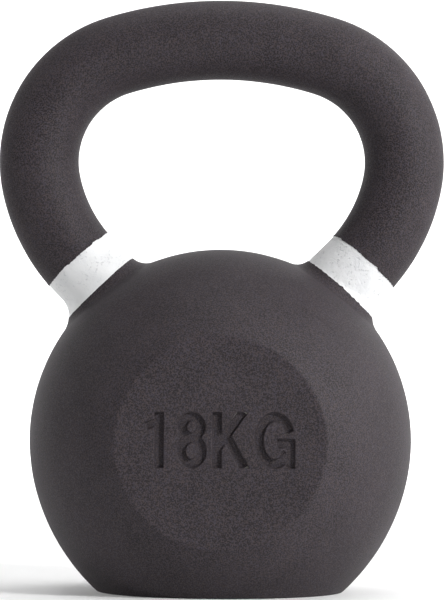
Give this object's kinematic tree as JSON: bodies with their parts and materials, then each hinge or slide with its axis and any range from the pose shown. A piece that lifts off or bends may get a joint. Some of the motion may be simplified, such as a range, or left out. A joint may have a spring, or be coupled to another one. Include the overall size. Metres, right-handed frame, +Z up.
{
  "type": "kettlebell",
  "caption": "Cast-iron kettlebell with a looped handle, flat base, round front and back flats, black powder coat and a white band on each horn.",
  "frame": {"origin": "centre of the overall box at the flat base the kettlebell stands on", "axes": "+Z up, +X to the right along the grip bar when facing the weight mark, +Y from the weight mark towards the back"},
  "size_m": [0.192, 0.139, 0.2555],
  "materials": {
    "raw_iron": "as-cast grey iron, matte",
    "black_powder_coat": "fine-textured matte charcoal powder coat",
    "white_band_paint": "brushed-on satin white paint over as-cast texture"
  },
  "bodies": {
    "root": {"iron_casting": "raw_iron", "ball_coat": "black_powder_coat", "handle_coat": "black_powder_coat", "left_band": "white_band_paint", "right_band": "white_band_paint"}
  },
  "joints": []
}
